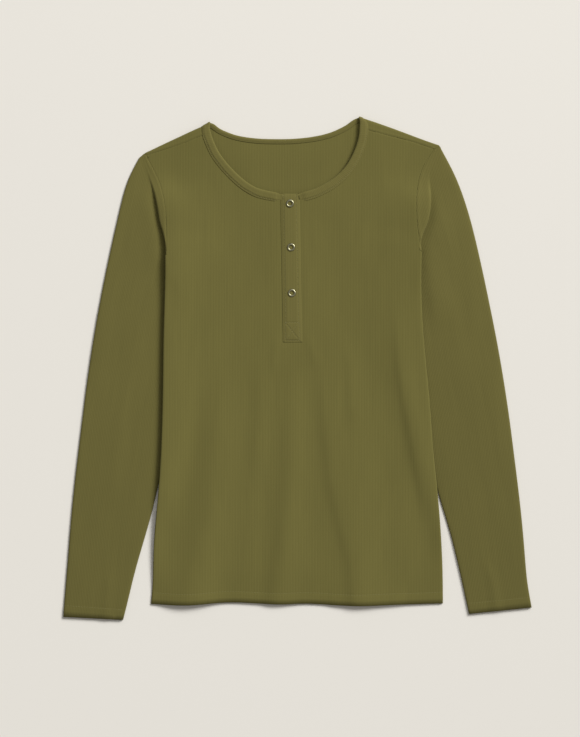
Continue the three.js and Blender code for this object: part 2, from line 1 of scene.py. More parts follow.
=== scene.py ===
import math

import bmesh
import bpy
from mathutils import Matrix, Vector
from mathutils.bvhtree import BVHTree
from mathutils.geometry import intersect_point_line
from mathutils.kdtree import KDTree


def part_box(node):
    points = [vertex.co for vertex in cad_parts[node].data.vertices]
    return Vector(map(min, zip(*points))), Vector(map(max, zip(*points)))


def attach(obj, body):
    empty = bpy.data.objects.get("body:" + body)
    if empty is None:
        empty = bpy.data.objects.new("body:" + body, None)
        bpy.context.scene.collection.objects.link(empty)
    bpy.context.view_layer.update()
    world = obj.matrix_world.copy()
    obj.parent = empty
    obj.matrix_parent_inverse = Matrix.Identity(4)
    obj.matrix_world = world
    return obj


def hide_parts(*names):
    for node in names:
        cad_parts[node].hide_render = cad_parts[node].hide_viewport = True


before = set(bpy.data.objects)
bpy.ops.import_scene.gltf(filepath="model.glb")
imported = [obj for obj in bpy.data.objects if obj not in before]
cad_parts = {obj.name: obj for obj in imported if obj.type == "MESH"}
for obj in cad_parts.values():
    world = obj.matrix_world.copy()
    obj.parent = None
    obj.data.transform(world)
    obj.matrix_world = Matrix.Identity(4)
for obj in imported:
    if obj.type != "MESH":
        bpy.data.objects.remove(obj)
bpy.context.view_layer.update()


# Front panel
# One piece of fine cotton rib knit, cut with the ribs running down. Its shoulders and sides are sewn to the back.
# It lies on the back panel, and its broad soft folds open out towards a turned-up hem held by one row of stitches.
MM = 0.001
CLOTH = 1.0 * MM
HEM_CLOTH = 1.7 * MM
MIDDLE_X, MIDDLE_Y = 0.24, 1.23  # middle of the shirt's outline in mm, where the frame's origin is
OLIVE = (0.148, 0.131, 0.035)
RIB_PITCH = 2.1 * MM
COURSE_PITCH = 1.5 * MM
HEM_STITCH = 14.7  # height of the stitches above the hem's edge, in mm
HEM_STEP, HEM_STEP_WIDTH = 0.6, 1.8  # where the doubled cloth starts above the stitches, and over what height, in mm
HEM_STAND = 0.2 * MM
HEM_LINE = (
    (-200, -313.4), (-150, -315.6), (-90, -311.6), (-23, -314.4), (10, -313.2), (78, -316.4), (137, -314.6),
    (200, -312.8))
# Each fold of the front: its rise, its half-width towards the right arm and towards the left arm, and the line of its
# crest from the top down, all in mm
FRONT_FOLDS = (
    (1.3, 9, 20, ((28, 40), (33, 0), (39, -81), (46, -148), (58, -201), (72, -255), (78, -320))),
    (1.1, 12, 15, ((-4, 30), (-7, -41), (-10, -148), (-18, -228), (-33, -320))),
    (2.1, 22, 36, ((-92, 10), (-108, -134), (-116, -201), (-130, -268), (-148, -320))),
    (1.3, 6, 18, ((128, 112), (132, 60), (136, 5), (147, -58), (158, -116), (167, -165), (172, -215))),
    (0.8, 7, 14, ((70, 48), (71, 0), (73, -45), (78, -90))),
    (0.8, 9, 14, ((-45, 39), (-49, -41), (-56, -174))),
    (0.5, 5, 6, ((-24, 52), (-30, 22), (-35, -8))),
    (0.5, 5, 6, ((12, 50), (20, 24), (25, 0))),
    (0.4, 9, 9, ((112, 232), (84, 180), (62, 120))),
)


def smooth(t):
    t = min(1.0, max(0.0, t))
    return t * t * (3 - 2 * t)


def place(x, y, z=0.0):
    """A point of the shirt, from millimetres on the photo's own axes to the frame."""
    return Vector(((x - MIDDLE_X) * MM, (y - MIDDLE_Y) * MM, z * MM))


def fold_rise(folds, point):
    """How far soft folds lift the cloth at a point, in metres."""
    total = 0.0
    for rise, right_width, left_width, line in folds:
        line = [place(*corner) for corner in line]
        best = (1.0, 0.0, 1.0)
        done = 0.0
        for a, b in zip(line, line[1:]):
            span = (b - a).length
            share = min(1.0, max(0.0, intersect_point_line(point, a, b)[1]))
            gap = (point - a.lerp(b, share)).length
            if gap < best[0]:
                best = (gap, done + share * span, (b - a).cross(point - a).z)
            done += span
        gap, along, side = best
        width = (left_width if side > 0 else right_width) * MM
        reaches_hem = line[-1].y < -0.3
        start = smooth(along / (0.35 * done))
        end = 1 if reaches_hem else smooth((done - along) / (0.3 * done))
        total += rise * MM * start * end * math.exp(-((gap / width) ** 2))
    return total


def curve_y(line, x):
    """Height of a line of (x, y) points at x, smooth from point to point."""
    for (x0, y0), (x1, y1) in zip(line, line[1:]):
        if x <= x1:
            return y0 + (y1 - y0) * smooth((x - x0) / (x1 - x0))
    return line[-1][1]


def skin_of(node):
    """The face of a cut piece that shows, as one open sheet of quads, taken from a merged copy of its solid."""
    sheet = bmesh.new()
    sheet.from_mesh(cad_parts[node].data)
    bmesh.ops.remove_doubles(sheet, verts=sheet.verts, dist=1e-6)
    wall = lambda edge: abs(edge.calc_length() - CLOTH) < 4e-6
    sharp = lambda edge: edge.calc_face_angle(0) > math.radians(70)
    folded = lambda face: any(sharp(edge) and not wall(edge) for edge in face.edges)
    rim = [face for face in sheet.faces if any(map(wall, face.edges)) and folded(face)]
    bmesh.ops.delete(sheet, geom=rim, context="FACES_ONLY")
    skins = []
    left = set(sheet.faces)
    while left:
        skin = {left.pop()}
        to_visit = list(skin)
        while to_visit:
            near = {f for e in to_visit.pop().edges for f in e.link_faces} & left
            left -= near
            skin |= near
            to_visit += near
        skins.append(skin)
    size = lambda skin: round(sum(f.calc_area() for f in skin) * 1e5)
    height = lambda skin: sum(f.calc_center_median().z for f in skin) / len(skin)
    skins.sort(key=lambda skin: (-size(skin), -height(skin)))  # of a flat strip's two equal faces, the upper one
    bmesh.ops.delete(sheet, geom=[f for skin in skins[1:] for f in skin], context="FACES")
    loose = [v for v in sheet.verts if not v.link_faces]
    bmesh.ops.delete(sheet, geom=loose, context="VERTS")
    bmesh.ops.join_triangles(
        sheet, faces=sheet.faces, angle_face_threshold=math.radians(50), angle_shape_threshold=math.radians(80))
    return sheet


def put_in(name, data):
    """A new object in the scene, made of a mesh, a light or a camera."""
    piece = bpy.data.objects.new(name, data)
    bpy.context.scene.collection.objects.link(piece)
    return piece


def finer(sheet, name):
    """The same sheet rounded and divided by a subdivision surface, with its corners kept."""
    mesh = bpy.data.meshes.new(name)
    sheet.to_mesh(mesh)
    piece = put_in(name, mesh)
    rounding = piece.modifiers.new("rounding", "SUBSURF")
    rounding.levels = rounding.render_levels = 2
    rounding.boundary_smooth = "PRESERVE_CORNERS"
    rounded = bpy.data.meshes.new_from_object(piece.evaluated_get(bpy.context.evaluated_depsgraph_get()))
    piece.modifiers.clear()
    piece.data = rounded
    rounded.name = name
    bpy.data.meshes.remove(mesh)
    return piece


def tree_of(points):
    """A search tree for the nearest of some points."""
    tree = KDTree(len(points))
    for number, point in enumerate(points):
        tree.insert(point, number)
    tree.balance()
    return tree


def walked(line, step):
    """Points along a line, evenly spaced, with the direction at each."""
    out = []
    carry = step / 2
    for a, b in zip(line, line[1:]):
        span = (b - a).length
        while carry < span:
            out.append((a.lerp(b, carry / span), (b - a).normalized()))
            carry += step
        carry -= span
    return out


def drawn_on(piece, line, step=0.5 * MM, down=-1):
    """Points of a line laid on a piece from above, or from below, with the direction and the cloth's normal there."""
    cloth = BVHTree.FromObject(piece, bpy.context.evaluated_depsgraph_get())
    out = []
    for point, run in walked(line, step):
        hit, normal, _, _ = cloth.ray_cast(Vector((point.x, point.y, -down * 0.05)), Vector((0, 0, down)))
        if hit is not None:
            out.append((hit, run, normal if normal.z * -down > 0 else -normal))
    return out


def relief(piece, points, reach, rise, passes=2):
    """Divides a piece finely within reach of some points on it, and moves it along its normals by rise(distance)."""
    tree = tree_of(points)
    cloth = bmesh.new()
    cloth.from_mesh(piece.data)
    for _ in range(passes):
        near = []
        for edge in cloth.edges:
            span = edge.calc_length()
            middle = (edge.verts[0].co + edge.verts[1].co) / 2
            if span > 0.45 * reach and tree.find(middle)[2] < reach + span / 2:
                near.append(edge)
        bmesh.ops.subdivide_edges(cloth, edges=near, cuts=1, use_grid_fill=True)
    cloth.normal_update()
    for vertex in cloth.verts:
        gap = tree.find(vertex.co)[2]
        if gap < 2 * reach:
            vertex.co += vertex.normal * rise(gap)
            vertex.co.z = max(vertex.co.z, 0)
    cloth.to_mesh(piece.data)
    cloth.free()


def lay_grain(piece, across_and_along):
    """Sets out the knit's own directions on a piece: U across the ribs and V along them, in metres."""
    grain = piece.data.uv_layers.get("grain") or piece.data.uv_layers.new(name="grain")
    places = [across_and_along(v.co) for v in piece.data.vertices]
    for loop in piece.data.loops:
        grain.data[loop.index].uv = places[loop.vertex_index]


def thicken(piece, is_hem=lambda point: 0.0):
    """Gives a skin the cloth's thickness inwards, and twice the layers where it is turned up for a hem."""
    group = piece.vertex_groups.new(name="layers")
    for v in piece.data.vertices:
        group.add([v.index], CLOTH / HEM_CLOTH + (1 - CLOTH / HEM_CLOTH) * is_hem(v.co), "REPLACE")
    wall = piece.modifiers.new("wall", "SOLIDIFY")
    wall.thickness = HEM_CLOTH
    wall.offset = -1
    wall.vertex_group = "layers"
    wall.use_rim = True
    for face in piece.data.polygons:
        face.use_smooth = True


class Wire:
    """A value or colour on its way through a material's nodes."""

    def __init__(self, tree, socket):
        self.tree, self.socket = tree, socket

    def node(self, kind, settings=None, inputs=None, out=0):
        made = self.tree.nodes.new(kind)
        for key, value in (settings or {}).items():
            if key == "ramp":
                while len(made.color_ramp.elements) < len(value):
                    made.color_ramp.elements.new(1.0)
                for stop, (at, colour) in zip(made.color_ramp.elements, value):
                    stop.position, stop.color = at, (*colour, 1)
            else:
                setattr(made, key, value)
        for key, value in (inputs or {}).items():
            if isinstance(value, Wire):
                self.tree.links.new(value.socket, made.inputs[key])
            else:
                made.inputs[key].default_value = value
        return Wire(self.tree, made.outputs[out])

    def math(self, operation, *values):
        return self.node("ShaderNodeMath", {"operation": operation}, dict(enumerate(values)))

    def __add__(self, other):
        return self.math("ADD", self, other)

    def __sub__(self, other):
        return self.math("SUBTRACT", self, other)

    def __mul__(self, other):
        return self.math("MULTIPLY", self, other)

    __radd__ = __add__


def new_material(name):
    """A material with its surface shader, and a first wire to reach the other nodes from."""
    material = bpy.data.materials.new(name)
    material.use_nodes = True
    return material, material.node_tree.nodes["Principled BSDF"], Wire(material.node_tree, None)


def rib_knit(name, colour, darker_downwards=0.0):
    """Fine rib knit: rounded ribs along V, each a column of V-shaped stitches, with faint streaks of dye."""
    material, surface, start = new_material(name)
    grain = start.node("ShaderNodeUVMap", {"uv_map": "grain"})
    across = grain.node("ShaderNodeSeparateXYZ", inputs={0: grain})
    along = Wire(across.tree, across.socket.node.outputs[1])
    turn = across * (math.tau / RIB_PITCH)
    rib = turn.math("COSINE", turn) * 0.5 + 0.5
    lean = turn.math("ABSOLUTE", turn.math("SINE", turn * 0.5))
    stitch_turn = along * (math.tau / COURSE_PITCH) + lean * 2.6
    stitch = stitch_turn.math("COSINE", stitch_turn) * 0.5 + 0.5

    def noise(scale_across, scale_along, detail):
        spread = grain.node("ShaderNodeMapping", inputs={"Vector": grain, "Scale": (scale_across, scale_along, 1.0)})
        return grain.node("ShaderNodeTexNoise", inputs={"Vector": spread, "Scale": 1.0, "Detail": detail})

    streaks = noise(560.0, 14.0, 2.0)
    patches = noise(24.0, 9.0, 3.0)
    fuzz = noise(2600.0, 2600.0, 2.0)
    # The tone is lighter on the crests of the ribs and stitches and darker in the hollows between them: painted shade
    # that follows the relief given to the bump below.
    knit = 0.898 + rib * 0.032 + stitch * 0.025
    # The last term makes the tone darker towards low V. The sleeves use it to grow darker towards the cuffs.
    shade = knit + (streaks - 0.5) * 0.14 + (patches - 0.5) * 0.13 + along * darker_downwards
    tinted = shade.node("ShaderNodeVectorMath", {"operation": "SCALE"}, {0: colour, "Scale": shade})
    start.tree.links.new(tinted.socket, surface.inputs["Base Color"])
    height = rib * 0.62 + rib * stitch * 0.26 + fuzz * 0.12
    bump = height.node("ShaderNodeBump", inputs={"Height": height, "Strength": 0.28, "Distance": 0.0004})
    start.tree.links.new(bump.socket, surface.inputs["Normal"])
    surface.inputs["Roughness"].default_value = 0.92
    surface.inputs["Specular IOR Level"].default_value = 0.18
    surface.inputs["Sheen Weight"].default_value = 0.12
    surface.inputs["Sheen Roughness"].default_value = 0.5
    surface.inputs["Sheen Tint"].default_value = (0.62, 0.6, 0.4, 1)
    return material


rib_cloth = rib_knit("olive_rib_knit", OLIVE)

# The sides of the body as (y, x), in mm
RIGHT_SIDE = (
    (-313, -195.6), (-241, -192.3), (-157, -184.8), (-94, -181.2), (-14, -179.4), (66, -178.2), (152, -174.8),
    (300, -176))
LEFT_SIDE = (
    (-313, 194.8), (-241, 193.2), (-161, 187.2), (-106, 181.4), (-41, 176.8), (47, 168.4), (157, 165),
    (189, 160.4), (215, 158.5), (241, 159.9), (300, 165))
EDGE_STAND = 3.0 * MM
EDGE_STAND_WIDTH = 50  # from the body's edge inwards, in mm


def side_x(line, y):
    """Where the side of the body is at a height, in mm."""
    for (y0, x0), (y1, x1) in zip(line, line[1:]):
        if y <= y1:
            return x0 + (x1 - x0) * (y - y0) / (y1 - y0)
    return line[-1][1]


def side_stand(point):
    """How far the body's edge stands off the right arm's sleeve, where a dark gap shows beside it."""
    x, y = point.x / MM + MIDDLE_X, point.y / MM + MIDDLE_Y
    ends = smooth((y + 230) / 70) * smooth((200 - y) / 60)
    return EDGE_STAND * ends * smooth((side_x(RIGHT_SIDE, y) + EDGE_STAND_WIDTH - x) / EDGE_STAND_WIDTH)


def front_drape(point):
    """Lift of the front's folds at a point. It dies away at the seams round the panel, which hold it down."""
    x, y = abs(point.x), point.y
    half_width = 0.168 + 0.03 * smooth((0.1 - y) / 0.35)
    from_shoulder = 0.30 - y - 0.25 * max(0, x - 0.09)
    loose = smooth((half_width - x) / 0.02) * smooth(from_shoulder / 0.08)
    return loose * fold_rise(FRONT_FOLDS, Vector((point.x, point.y, 0))) + side_stand(point)


def hem_share(point):
    """0 on the single cloth and 1 on the doubled hem, with the step just below the stitching."""
    top = curve_y(HEM_LINE, point.x / MM) + HEM_STITCH + HEM_STEP
    return smooth((top - point.y / MM - MIDDLE_Y) / HEM_STEP_WIDTH)


PLACKET_LINE = ((234.4, -10.0), (150, -8.3), (36, -6.2))  # its middle from the neck down, as (y, x) in mm
PLACKET_HALF = 13.1  # half its width, in mm
SLIT_GIVES = -0.33 * MM


def placket_x(y):
    """Middle of the placket at a height, in mm."""
    (y0, x0), (y1, x1) = PLACKET_LINE[:2] if y > PLACKET_LINE[1][0] else PLACKET_LINE[1:]
    return x0 + (x1 - x0) * (y - y0) / (y1 - y0)


def under_placket(point):
    """How far the front's slit edges give way under the placket's outer strip."""
    x, y = point.x / MM + MIDDLE_X, point.y / MM + MIDDLE_Y
    inside = min(PLACKET_HALF - abs(x - placket_x(y)), y - PLACKET_LINE[2][0])
    return SLIT_GIVES * smooth((inside + 2.5) / 3.5)


HEM_DROP = -1.5 * MM
HEM_DROP_HEIGHT = 48  # the drop starts this far above the edge, in mm


def hem_lies(point):
    """How far the front comes down to the back at its hem. Two stretches of the hem stay up off the table."""
    x = point.x / MM + MIDDLE_X
    up = smooth((x + 190) / 25) * smooth((-100 - x) / 30) + smooth((x - 30) / 30) * smooth((152 - x) / 25)
    above = point.y / MM + MIDDLE_Y - curve_y(HEM_LINE, x)
    return HEM_DROP * (1 - up) * smooth((HEM_DROP_HEIGHT - above) / HEM_DROP_HEIGHT)


def hem_groove(gap):
    """A row of hem stitches sets the cloth in."""
    return -0.18 * MM * math.exp(-((gap / (0.9 * MM)) ** 2))


def hem_row(inset):
    """The line of the body's hem stitches, which stops short of both sides by inset, in mm."""
    return [place(x, curve_y(HEM_LINE, x) + HEM_STITCH) for x in range(inset - 200, 201 - inset, 6)]


def turn_up(piece, down, stand):
    """Divides the bottom of a body panel finely, sets the stitching in, and makes the doubled hem stand out."""
    points = [hit for hit, _, _ in drawn_on(piece, hem_row(2), down=down)]
    relief(piece, points, 3 * MM, hem_groove)
    for vertex in piece.data.vertices:
        vertex.co.z += stand * hem_share(vertex.co)


def ease(sheet, where, times):
    """Lets the cloth settle: evens out the heights wherever a test on the place holds, with the edges kept."""
    loose = [v for v in sheet.verts if not v.is_boundary and where(v.co)]
    for _ in range(times):
        bmesh.ops.smooth_vert(sheet, verts=loose, factor=0.5, use_axis_x=False, use_axis_y=False, use_axis_z=True)


sheet = skin_of("front_panel")
beside_placket = lambda p: 0.055 < abs(p.x) < 0.156 and 0.0 < p.y < 0.245
ease(sheet, beside_placket, 30)
front = finer(sheet, "front_cloth")
for v in front.data.vertices:
    v.co.z += front_drape(v.co) + hem_lies(v.co) + under_placket(v.co)
turn_up(front, -1, HEM_STAND)
lay_grain(front, lambda p: (p.x, p.y))
thicken(front, hem_share)
front.data.materials.append(rib_cloth)
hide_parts("front_panel")
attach(front, "root")


# Back panel
# One piece of the same rib knit. It lies on the table and on the drawn-in part of each sleeve, and comes over each
# shoulder to the seam on the front. Its hem is turned up and stitched with the front's.
SHOULDER_TIPS = (place(-201.6, 288), place(190.5, 296))
TIP_ROUND = 10 * MM  # how far round its middle a tip goes
TIP_LAYER = 1.5 * MM  # layers that lie closer than this, one over the other, belong together at a tip


def rim_points(piece, where=lambda point: True, step=0.4 * MM):
    """Points along the open edges of a piece, wherever the test on their place holds."""
    cloth = bmesh.new()
    cloth.from_mesh(piece.data)
    out = []
    for edge in cloth.edges:
        if edge.is_boundary and where((edge.verts[0].co + edge.verts[1].co) / 2):
            out += [point for point, _ in walked([v.co.copy() for v in edge.verts], step)]
    cloth.free()
    return out


def sew(piece, other, reach=1.1 * MM, tip_reach=1.1 * MM):
    """Draws the edge of a piece onto the edge of another along their seam, from farther off at the shoulder tips."""
    edge = tree_of(rim_points(other, step=0.25 * MM))
    cloth = bmesh.new()
    cloth.from_mesh(piece.data)
    for vertex in cloth.verts:
        if vertex.is_boundary:
            at, _, gap = edge.find(vertex.co)
            at_tip = min((vertex.co.xy - tip.xy).length for tip in SHOULDER_TIPS) < TIP_ROUND
            if gap < (tip_reach if at_tip and abs(at.z - vertex.co.z) < TIP_LAYER else reach):
                vertex.co = at
    cloth.to_mesh(piece.data)
    cloth.free()


def seam_groove(gap):
    """The cloth turns in at a seam."""
    return -0.15 * MM * math.exp(-((gap / (0.9 * MM)) ** 2))


def seam_ridge(gap):
    """On the side that the seam allowance is pressed to, the cloth also stands up beside the seam."""
    return seam_groove(gap) + 0.22 * MM * math.exp(-(((gap - 2.6 * MM) / (1.5 * MM)) ** 2))


back = finer(skin_of("back_panel"), "back_cloth")
for v in back.data.vertices:
    v.co.z += side_stand(v.co)
turn_up(back, 1, 0.0)
lay_grain(back, lambda p: (p.x, p.y))
thicken(back, hem_share)
sew(front, back)
back_edge = tree_of(rim_points(back))
at_shoulders = lambda p: p.y > 0.27 and abs(p.x) > 0.084
shoulder_seams = rim_points(front, lambda p: at_shoulders(p) and back_edge.find(p)[2] < 0.3 * MM)
relief(front, shoulder_seams, 1.8 * MM, seam_groove, passes=4)
relief(back, shoulder_seams, 2.2 * MM, seam_ridge, passes=4)
sew(front, back)
back.data.materials.append(rib_cloth)
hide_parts("back_panel")
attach(back, "root")


# Sleeves
# Each is one piece of rib knit seamed under the arm into a tube and pressed flat, with the ribs along its outer fold.
# A pleat under the body draws it in at the armhole. The cuff is a plain turned-up hem.
OLIVE_SLEEVE = (0.139, 0.122, 0.033)
# The sleeves' knit is a little darker than the body's, and its tone grows darker towards the cuffs.
sleeve_cloth = rib_knit("olive_rib_knit_sleeves", OLIVE_SLEEVE, darker_downwards=0.16)
# The outer fold of each sleeve as (y, x) and the edge of each cuff as (x, y), in mm, then the folds as on the front
OUTER_FOLDS = {
    "right_arm": ((226, -235.3), (92, -263.3), (-68, -287.4), (-228, -304.7), (-331, -313.5)),
    "left_arm": ((226, 223.9), (92, 256.0), (-68, 284.0), (-228, 302.7), (-320, 313.4)),
}
CUFF_LINES = {"right_arm": ((-313, -330.5), (-232.8, -336)), "left_arm": ((229.5, -327.5), (313.4, -319.5))}
SLEEVE_FOLDS = {
    "right_arm": (
        (1.2, 14, 5, ((-203, 253), (-198, 219), (-191, 186), (-189, 159), (-190, 120))),
        (0.7, 12, 12, ((-248, 110), (-262, 20), (-272, -60))),
        (0.6, 9, 9, ((-230, -20), (-238, -110), (-252, -190))),
        (0.7, 7, 7, ((-250, -262), (-254, -300), (-256, -340)))),
    "left_arm": (
        (2.3, 6.5, 22, (
            (191, 250), (187, 213), (185, 197), (175, 166), (174.5, 139), (177, 112), (180, 92), (183, 40))),
        (0.7, 11, 11, ((226, 190), (232, 110), (240, 20))),
        (0.6, 10, 10, ((256, 20), (268, -80), (280, -170))),
        (0.7, 7, 7, ((252, -250), (262, -290), (268, -330)))),
}
SIDES = {"right_arm": RIGHT_SIDE, "left_arm": LEFT_SIDE}
PLEAT_UPPER, PLEAT_LOWER = 4.1 * MM, 2.7 * MM  # the pleat's faces lie above these: those that look up, and the rest
PLEAT_BOTTOM, PLEAT_TOP = 140, 240
PLEAT_WIDTH = 30  # at most, beyond the body's side, in mm
BESIDE_EDGE = 5.8 * MM  # the right arm's layers above this height rise with the body's edge


def sleeve_grain(point, line):
    """Distance in from the sleeve's outer fold, which the ribs follow, and the distance along it."""
    y = point.y / MM + MIDDLE_Y
    best = line[-2:]
    for upper, lower in zip(line, line[1:]):
        if y >= lower[0]:
            best = (upper, lower)
            break
    (y0, x0), (y1, x1) = best
    slope = (x1 - x0) / (y1 - y0)
    edge = x0 + slope * (y - y0)
    turn = math.cos(math.atan(slope))
    return ((point.x / MM + MIDDLE_X - edge) * turn * MM, point.y / turn)


def cuff_share(point, line):
    """0 on the single cloth and 1 on the doubled hem of a cuff."""
    (x0, y0), (x1, y1) = line
    edge = y0 + (y1 - y0) * (point.x / MM + MIDDLE_X - x0) / (x1 - x0)
    return smooth((edge + HEM_STITCH + HEM_STEP - point.y / MM - MIDDLE_Y) / HEM_STEP_WIDTH)


def pleat_kept(arm, y):
    """How much of the pleat's width shows at a height. Its edge runs in to the side seam at the underarm."""
    share = smooth((y - 157) / 45)
    return share if arm == "right_arm" else share * (0.78 + 0.22 * smooth((y - 195) / 40))


def cuff_row(arm, inset):
    """The line of a cuff's stitches, which stops short of both folds by inset, in mm."""
    (x0, y0), (x1, y1) = CUFF_LINES[arm]
    return [place(x0 + inset, y0 + HEM_STITCH), place(x1 - inset, y1 + HEM_STITCH)]


sleeves = {}
for arm, out in (("right_arm", -1), ("left_arm", 1)):
    sleeve = finer(skin_of(f"sleeve_{arm}"), f"sleeve_{arm.split('_')[0]}_cloth")
    cuff = CUFF_LINES[arm]
    pleat = [v for v in sleeve.data.vertices if v.co.z > (PLEAT_UPPER if v.normal.z > 0.4 else PLEAT_LOWER)]
    for v in pleat:
        y = v.co.y / MM + MIDDLE_Y
        beyond = out * (v.co.x / MM + MIDDLE_X - side_x(SIDES[arm], y))
        if 0 < beyond < PLEAT_WIDTH and PLEAT_BOTTOM < y < PLEAT_TOP:
            v.co.x -= out * beyond * MM * (1 - pleat_kept(arm, y)) * 0.99
        if arm == "right_arm" and v.co.z > BESIDE_EDGE:
            v.co.z += side_stand(v.co)
    # The folds die away where the sleeve climbs onto the pleat and the body
    upper = [v for v in sleeve.data.vertices if v.normal.z > 0.5]
    for v in upper:
        loose = smooth((6.8 * MM - v.co.z) / (3.2 * MM))
        v.co.z += loose * fold_rise(SLEEVE_FOLDS[arm], Vector((v.co.x, v.co.y, 0)))
    relief(sleeve, [hit for hit, _, _ in drawn_on(sleeve, cuff_row(arm, 0.5))], 3 * MM, hem_groove)
    upper = [v for v in sleeve.data.vertices if v.normal.z > 0.3 and v.co.y < -0.29]
    for v in upper:
        v.co.z += HEM_STAND * cuff_share(v.co, cuff)
    lay_grain(sleeve, lambda p: sleeve_grain(p, OUTER_FOLDS[arm]))
    thicken(sleeve, lambda p: cuff_share(p, cuff))
    sew(sleeve, front, tip_reach=3.0 * MM)
    sew(sleeve, back, tip_reach=3.0 * MM)
    armhole = rim_points(sleeve, lambda p: p.y > 0.14)
    relief(sleeve, armhole, 2.2 * MM, seam_ridge, passes=4)
    for body in (front, back):
        relief(body, armhole, 1.8 * MM, seam_groove, passes=4)
        sew(sleeve, body, reach=0.6 * MM)
    sleeve.data.materials.append(sleeve_cloth)
    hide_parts(f"sleeve_{arm}")
    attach(sleeve, "root")
    sleeves[arm] = sleeve


# Neck binding
# A strip of the same knit, folded round the raw neck edge from one side of the placket to the other, and stitched
# through all layers just above its lower edge. Its ribs run across the strip.
OLIVE_TRIM = (0.153, 0.134, 0.037)
trim_cloth = rib_knit("olive_trim_knit", OLIVE_TRIM)
NECK_CENTRE = place(-17, 318)
NECK_RADIUS = 0.092
BINDING_END = 1.2 * MM  # how far each end comes down under the placket
BINDING_ROW = 8.4  # from the outer edge at the front to the row of stitches, in mm
NECK_LINE = ((-117.6, 316), (-106.9, 290.4), (-89.7, 268.2), (-69.1, 249.3), (-48.3, 237.9), (-23.9, 232.7),
             (4, 233.4), (24.5, 239.7), (45.5, 251), (64.5, 268.2), (76.8, 289.2), (83.4, 309), (84.6, 321.8))
# Where the binding is drawn over at the two high points of the neck: the place, how far, and the reach, all in mm
NECK_PULLS = (
    ((-111.8, 326), (0, 3.8), 7), ((95.5, 334), (-1.2, -2.6), 6), ((84, 337), (-1.6, 0.6), 6),
    ((75.5, 330.5), (0, 2.9), 8), ((83.4, 337.4), (0.4, -1.1), 2.6))


def pull(piece, at, by, reach):
    """Eases a piece over at one place, as fingers would."""
    for vertex in piece.data.vertices:
        vertex.co += by * math.exp(-(((vertex.co - at).length / reach) ** 2))


def beside(line, gap):
    """A line of (x, y) points moved to its right by a distance, in mm."""
    out = []
    for i, (x, y) in enumerate(line):
        (ax, ay), (bx, by) = line[max(i - 1, 0)], line[min(i + 1, len(line) - 1)]
        run = math.hypot(bx - ax, by - ay)
        out.append(place(x + (by - ay) / run * gap, y - (bx - ax) / run * gap))
    return out


def pressed_edge(gap):
    """The folded edge of a trim, pressed down onto the cloth under it."""
    return -1.1 * MM * math.exp(-((gap / (3.4 * MM)) ** 2))


def stitched_down(gap):
    """A row of stitching pulls the cloth in."""
    return -0.22 * MM * math.exp(-((gap / (0.7 * MM)) ** 2))


binding = finer(skin_of("neck_binding"), "neck_binding_cloth")
for v in binding.data.vertices:
    v.co.z += front_drape(v.co)
# Both ends reach in under the placket's edges, where they lie as low as its strip
for v in binding.data.vertices:
    x = v.co.x / MM + MIDDLE_X
    if v.co.y < place(0, 262).y:
        right = x < -10
        short, left_over, ease_in = (8.8, -30.3 - x, 28) if right else (-3.5, x - 6.0, 20)
        v.co.x += short * MM * (1 - smooth(left_over / ease_in))
        if v.co.z > 5.4 * MM:
            v.co.z -= BINDING_END * (1 - smooth(left_over / 9))
for at, by, reach in NECK_PULLS:
    pull(binding, place(*at, 6), Vector((*by, 0)) * MM, reach * MM)
clear_of_placket = lambda p: p.y > 0.235 or abs(p.x + 0.010) > 0.0155
relief(binding, rim_points(binding, clear_of_placket), 3.4 * MM, pressed_edge)
neck_row = beside(NECK_LINE, BINDING_ROW)
relief(binding, [hit for hit, _, _ in drawn_on(binding, neck_row)], 1.6 * MM, stitched_down)
round_neck = lambda p: math.atan2(p.x - NECK_CENTRE.x, p.y - NECK_CENTRE.y) * NECK_RADIUS
lay_grain(binding, lambda p: (round_neck(p), (p - NECK_CENTRE).length))
thicken(binding)
binding.data.materials.append(trim_cloth)
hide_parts("neck_binding")
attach(binding, "root")


# Placket strips
# Two strips of the knit with the slit between them. The outer one is edge-stitched down both sides and closed at the
# bottom by a stitched box with a cross in it. The inner one carries the sockets.
EDGE_STITCH = 8.6  # from the middle of the placket, in mm
BOX_TOP, BOX_BOTTOM, BOX_HALF = 62.5, 38.5, 9.4
STRIP_LIES = -0.68 * MM  # how far the outer strip comes down onto the front

placket_rows = [[place(placket_x(y) + side * EDGE_STITCH, y) for y in (233.5, 150, BOX_TOP)] for side in (-1, 1)]
box = [(-BOX_HALF, BOX_TOP), (BOX_HALF, BOX_TOP), (BOX_HALF, BOX_BOTTOM), (-BOX_HALF, BOX_BOTTOM)]
box = [place(placket_x(y) + x, y) for x, y in box]
placket_rows += [[a, b] for a, b in zip(box, box[1:] + box[:1])]
placket_rows += [[box[0], box[2]], [box[1], box[3]]]

strips = {}
for node, name in (("placket_over", "placket_over_cloth"), ("placket_under", "placket_under_cloth")):
    strip = finer(skin_of(node), name)
    for v in strip.data.vertices:
        v.co.z += front_drape(v.co) + (STRIP_LIES if node == "placket_over" else 0)
    if node == "placket_over":
        relief(strip, rim_points(strip), 3.0 * MM, lambda gap: 0.75 * pressed_edge(gap))
        rows = [hit for row in placket_rows for hit, _, _ in drawn_on(strip, row)]
        relief(strip, rows, 1.6 * MM, lambda gap: 1.5 * stitched_down(gap))
    lay_grain(strip, lambda p: (p.x, p.y))
    thicken(strip)
    strip.data.materials.append(trim_cloth)
    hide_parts(node)
    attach(strip, "root")
    strips[node] = strip


